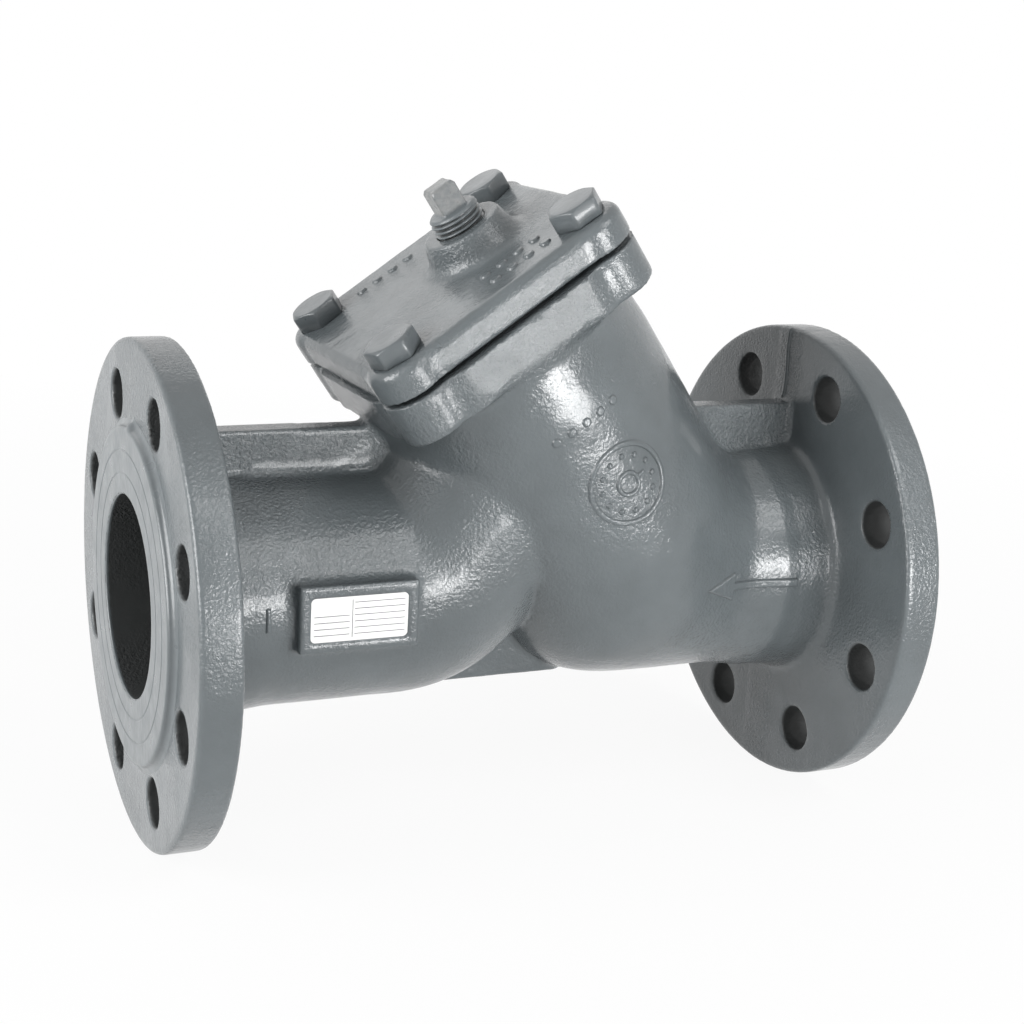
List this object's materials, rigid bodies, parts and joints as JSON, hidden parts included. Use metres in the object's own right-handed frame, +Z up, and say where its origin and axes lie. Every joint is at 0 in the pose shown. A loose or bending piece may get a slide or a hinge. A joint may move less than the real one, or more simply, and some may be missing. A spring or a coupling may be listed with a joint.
{
  "type": "strainer",
  "caption": "Cast Y-pattern pipe strainer with round flanges, a bolted square cover, a drain plug and a perforated screen that draws out.",
  "frame": {"origin": "centre of the outlet's raised sealing face, on the pipe axis", "axes": "+X along the pipe from the outlet face to the inlet face, +Z up on the side of the branch, +Y away from the side with the nameplate"},
  "size_m": [0.31, 0.2, 0.2622],
  "materials": {
    "casting": "rough sand casting under semi-gloss grey paint",
    "painted_bolt": "steel bolt under the same paint",
    "plug_iron": "forged plug, thinly painted",
    "plate_sheet": "satin sheet",
    "graphite": "matte graphite sheet",
    "stainless": "brushed",
    "stainless_mesh": "woven wire"
  },
  "bodies": {
    "casing": {"strainer_body": "casting", "nameplate": "plate_sheet", "cover_gasket": "graphite"},
    "cover_plate": {"cover": "casting"},
    "screen": {"screen_tube": "stainless", "screen_mesh": "stainless_mesh", "screen_seat_ring": "stainless", "screen_top_ring": "stainless"},
    "plug": {"drain_plug": "plug_iron"},
    "bolt_1": {"cover_bolt_1": "painted_bolt"},
    "bolt_2": {"cover_bolt_2": "painted_bolt"},
    "bolt_3": {"cover_bolt_3": "painted_bolt"},
    "bolt_4": {"cover_bolt_4": "painted_bolt"}
  },
  "joints": [
    {"name": "cover_lift", "type": "slide", "parent": "casing", "child": "cover_plate", "axis": [-0.5736, 0, 0.8192], "range_m": [0, 0.22]},
    {"name": "screen_draw", "type": "slide", "parent": "casing", "child": "screen", "axis": [-0.5736, 0, 0.8192], "range_m": [0, 0.156]},
    {"name": "drain_plug_out", "type": "slide", "parent": "cover_plate", "child": "plug", "axis": [-0.5736, 0, 0.8192], "range_m": [0, 0.03]},
    {"name": "cover_bolt_1_out", "type": "slide", "parent": "cover_plate", "child": "bolt_1", "axis": [-0.5736, 0, 0.8192], "range_m": [0, 0.045]},
    {"name": "cover_bolt_2_out", "type": "slide", "parent": "cover_plate", "child": "bolt_2", "axis": [-0.5736, 0, 0.8192], "range_m": [0, 0.045]},
    {"name": "cover_bolt_3_out", "type": "slide", "parent": "cover_plate", "child": "bolt_3", "axis": [-0.5736, 0, 0.8192], "range_m": [0, 0.045]},
    {"name": "cover_bolt_4_out", "type": "slide", "parent": "cover_plate", "child": "bolt_4", "axis": [-0.5736, 0, 0.8192], "range_m": [0, 0.045]}
  ],
  "couplings": [
    {"joint": "screen_draw", "follows": "cover_lift", "ratio": 0.7}
  ]
}
